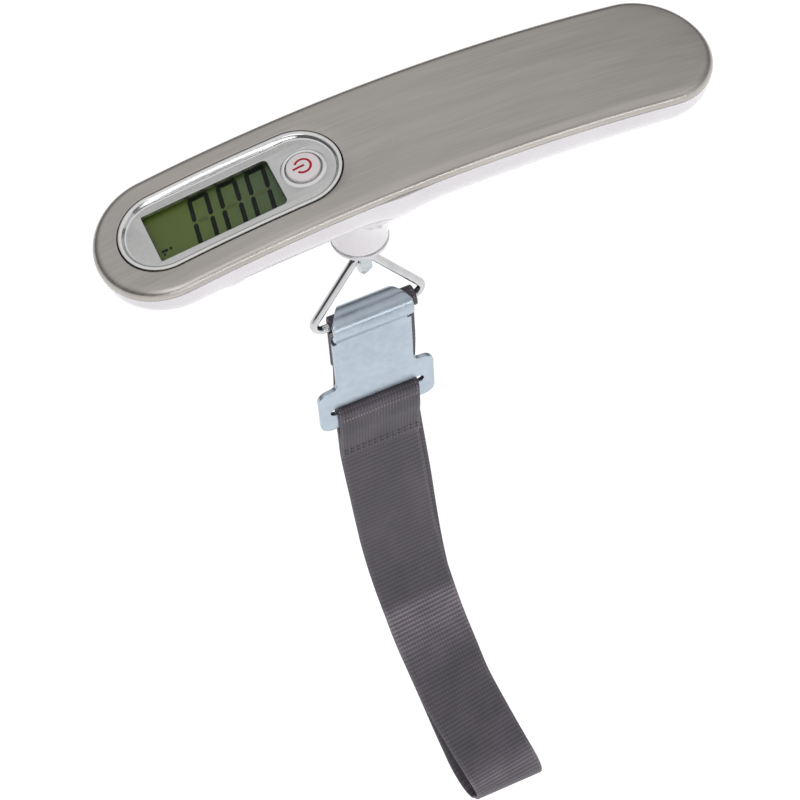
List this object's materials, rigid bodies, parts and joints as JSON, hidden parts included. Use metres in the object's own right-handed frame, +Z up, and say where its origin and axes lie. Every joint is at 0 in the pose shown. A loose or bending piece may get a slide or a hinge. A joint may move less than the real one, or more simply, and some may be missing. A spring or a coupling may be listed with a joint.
{
  "type": "digital luggage scale",
  "caption": "Handheld luggage scale: arched handle with display and power button, swivelling pull stud, triangular wire ring, hook plate and webbing loop.",
  "frame": {"origin": "crown of the steel cover at the handle's middle, where the palm rests", "axes": "+Z up out of the cover, against the pull; +X along the handle, away from the display; +Y towards the top edge of the display's figures"},
  "size_m": [0.1678, 0.0485, 0.3381],
  "materials": {
    "cover_steel": "fine grain along the handle",
    "inner_plastic": "satin",
    "shell_plastic": "glossy",
    "bezel_plastic": "silver lacquer",
    "clear_lens": "clear",
    "lcd_glass": "olive liquid crystal",
    "lcd_reflector": "satin",
    "dark_plastic": "satin",
    "zebra_rubber": "silicone",
    "board_laminate": "solder mask",
    "screw_steel": "zinc plated",
    "button_plastic": "glossy",
    "cell_steel": "nickel plated",
    "contact_metal": "nickel plated",
    "cell_aluminium": "milled",
    "gauge_resin": "resin coat",
    "wire_jacket": "smooth",
    "bushing_brass": "turned",
    "bright_chrome": "polished",
    "stud_steel": "zinc plated",
    "zinc_plate": "blue zinc plated",
    "webbing": "ribbed nylon",
    "thread": "nylon thread"
  },
  "bodies": {
    "handle": {"top_cover": "cover_steel", "upper_shell": "inner_plastic", "lower_shell": "shell_plastic", "display_bezel": "bezel_plastic", "display_lens": "clear_lens", "lcd_front_glass": "lcd_glass", "lcd_rear_glass": "lcd_glass", "lcd_reflector": "lcd_reflector", "lcd_holder": "dark_plastic", "zebra_strip": "zebra_rubber", "circuit_board": "board_laminate", "controller_chip": "dark_plastic", "board_screws": "screw_steel", "power_switch": "dark_plastic", "coin_cell": "cell_steel", "positive_contact": "contact_metal", "negative_contact": "contact_metal", "housing_screws": "screw_steel", "load_cell": "cell_aluminium", "strain_gauges": "gauge_resin", "load_cell_plate": "screw_steel", "load_cell_screws": "screw_steel", "signal_wires": "wire_jacket", "stud_bushing": "bushing_brass", "neck_ring": "bright_chrome"},
    "button": {"power_button": "button_plastic", "switch_plunger": "dark_plastic"},
    "door": {"battery_door": "shell_plastic"},
    "swivel": {"pull_stud": "stud_steel", "stud_washer": "stud_steel", "stud_nut": "stud_steel"},
    "ring": {"triangle_ring": "bright_chrome"},
    "hanger": {"hook_plate": "zinc_plate", "strap": "webbing", "strap_stitching": "thread"}
  },
  "joints": [
    {"name": "button_press", "type": "slide", "parent": "handle", "child": "button", "axis": [0.1207, 0, -0.9927], "range_m": [0, 0.0003], "stiffness_N_per_m": 2000},
    {"name": "door_turn", "type": "hinge", "parent": "handle", "child": "door", "pos_m": [-0.05484, 0, -0.00368], "axis": [-0.1207, 0, 0.9927], "range_deg": [0, 45]},
    {"name": "stud_swivel", "type": "hinge", "parent": "handle", "child": "swivel", "pos_m": [-0.0155, 0, -0.03], "axis": [0, 0, 1], "continuous": true},
    {"name": "ring_swing", "type": "hinge", "parent": "swivel", "child": "ring", "pos_m": [-0.0155, 0, -0.04439], "axis": [1, 0, 0], "range_deg": [-60, 60]},
    {"name": "hanger_swing", "type": "hinge", "parent": "ring", "child": "hanger", "pos_m": [-0.0155, 0, -0.0695], "axis": [1, 0, 0], "range_deg": [-40, 40]}
  ]
}
